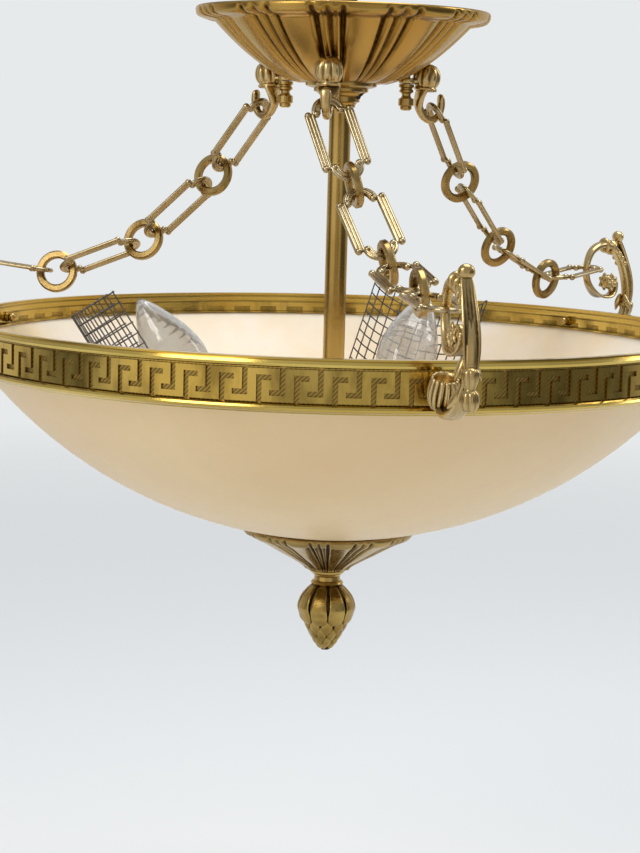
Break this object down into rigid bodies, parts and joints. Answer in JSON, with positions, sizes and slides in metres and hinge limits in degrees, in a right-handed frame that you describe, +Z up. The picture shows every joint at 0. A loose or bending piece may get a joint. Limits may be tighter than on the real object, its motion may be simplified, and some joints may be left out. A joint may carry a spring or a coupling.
{
  "type": "glass pendant light",
  "caption": "Shallow glass bowl in a Greek key brass band, hung on a stem under a fluted canopy, with slack link chains, candle bulbs and a pine cone finial.",
  "frame": {"origin": "centre of the hanging loop's eye", "axes": "+Z up along the stem, -Y toward the front as pictured, +X to the right of the picture"},
  "size_m": [0.4552, 0.4587, 0.3873],
  "materials": {
    "dark_iron": "blackened",
    "zinc_steel": "zinc",
    "black_plastic": "matte",
    "ivory_plastic": "matte",
    "brown_lead": "satin",
    "black_lead": "satin",
    "bulb_cap": "nickel",
    "bulb_glass": "clear",
    "opal_glass": "satin opal",
    "satin_bronze": "satin, aged",
    "turned_brass": "satin",
    "cast_brass": "aged, rubbed bright on the edges",
    "chain_brass": "aged",
    "ring_brass": "aged",
    "band_brass": "polished",
    "mesh_wire": "dull galvanised",
    "felt": "felt"
  },
  "bodies": {
    "fixture": {"hanging_loop": "dark_iron", "loop_lock_nut": "zinc_steel", "threaded_rod": "zinc_steel", "stem_tube": "turned_brass", "terminal_block": "black_plastic", "brown_lead": "brown_lead", "black_lead": "black_lead", "canopy": "satin_bronze", "canopy_collar": "turned_brass", "collar_screw": "dark_iron", "canopy_hooks": "cast_brass", "hook_finial_nuts": "turned_brass", "hook_inner_nuts": "zinc_steel", "bowl_band": "band_brass", "key_frieze": "band_brass", "glass_bowl": "opal_glass", "front_bracket": "cast_brass", "right_bracket": "cast_brass", "left_bracket": "cast_brass", "bracket_screws": "turned_brass", "lamp_hub": "turned_brass", "lamp_arms": "turned_brass", "lampholders": "ivory_plastic", "left_mesh_guard": "mesh_wire", "back_mesh_guard": "mesh_wire", "felt_washer": "felt", "clamp_plate": "zinc_steel", "finial_cup": "turned_brass", "neck_ring": "turned_brass"},
    "front_chain": {"front_link_1": "chain_brass", "front_link_2": "chain_brass", "front_link_3": "chain_brass", "front_link_4": "chain_brass", "front_ring_1": "ring_brass", "front_ring_2": "ring_brass", "front_ring_3": "ring_brass"},
    "right_chain": {"right_link_1": "chain_brass", "right_link_2": "chain_brass", "right_link_3": "chain_brass", "right_link_4": "chain_brass", "right_ring_1": "ring_brass", "right_ring_2": "ring_brass", "right_ring_3": "ring_brass"},
    "left_chain": {"left_link_1": "chain_brass", "left_link_2": "chain_brass", "left_link_3": "chain_brass", "left_link_4": "chain_brass", "left_ring_1": "ring_brass", "left_ring_2": "ring_brass", "left_ring_3": "ring_brass"},
    "left_bulb": {"left_bulb_glass": "bulb_glass", "left_bulb_cap": "bulb_cap"},
    "back_bulb": {"back_bulb_glass": "bulb_glass", "back_bulb_cap": "bulb_cap"},
    "pine_cone": {"pine_cone": "turned_brass"}
  },
  "joints": [
    {"name": "front_chain_swing", "type": "hinge", "parent": "fixture", "child": "front_chain", "pos_m": [-0.00736, -0.05592, -0.0702], "axis": [0.3063, -0.8186, -0.4859], "range_deg": [-15, 15]},
    {"name": "right_chain_swing", "type": "hinge", "parent": "fixture", "child": "right_chain", "pos_m": [0.05211, 0.02158, -0.0702], "axis": [0.5558, 0.6746, -0.4859], "range_deg": [-15, 15]},
    {"name": "left_chain_swing", "type": "hinge", "parent": "fixture", "child": "left_chain", "pos_m": [-0.04475, 0.03433, -0.0702], "axis": [-0.8621, 0.144, -0.4859], "range_deg": [-15, 15]},
    {"name": "left_bulb_turn", "type": "hinge", "parent": "fixture", "child": "left_bulb", "pos_m": [-0.0436, 0, -0.27843], "axis": [-0.5446, 0, 0.8387], "range_deg": [0, 720]},
    {"name": "back_bulb_turn", "type": "hinge", "parent": "fixture", "child": "back_bulb", "pos_m": [0.0218, 0.03776, -0.27843], "axis": [0.2723, 0.4717, 0.8387], "range_deg": [0, 720]},
    {"name": "pine_cone_turn", "type": "hinge", "parent": "fixture", "child": "pine_cone", "pos_m": [0, 0, -0.345], "axis": [0, 0, 1], "continuous": true}
  ]
}
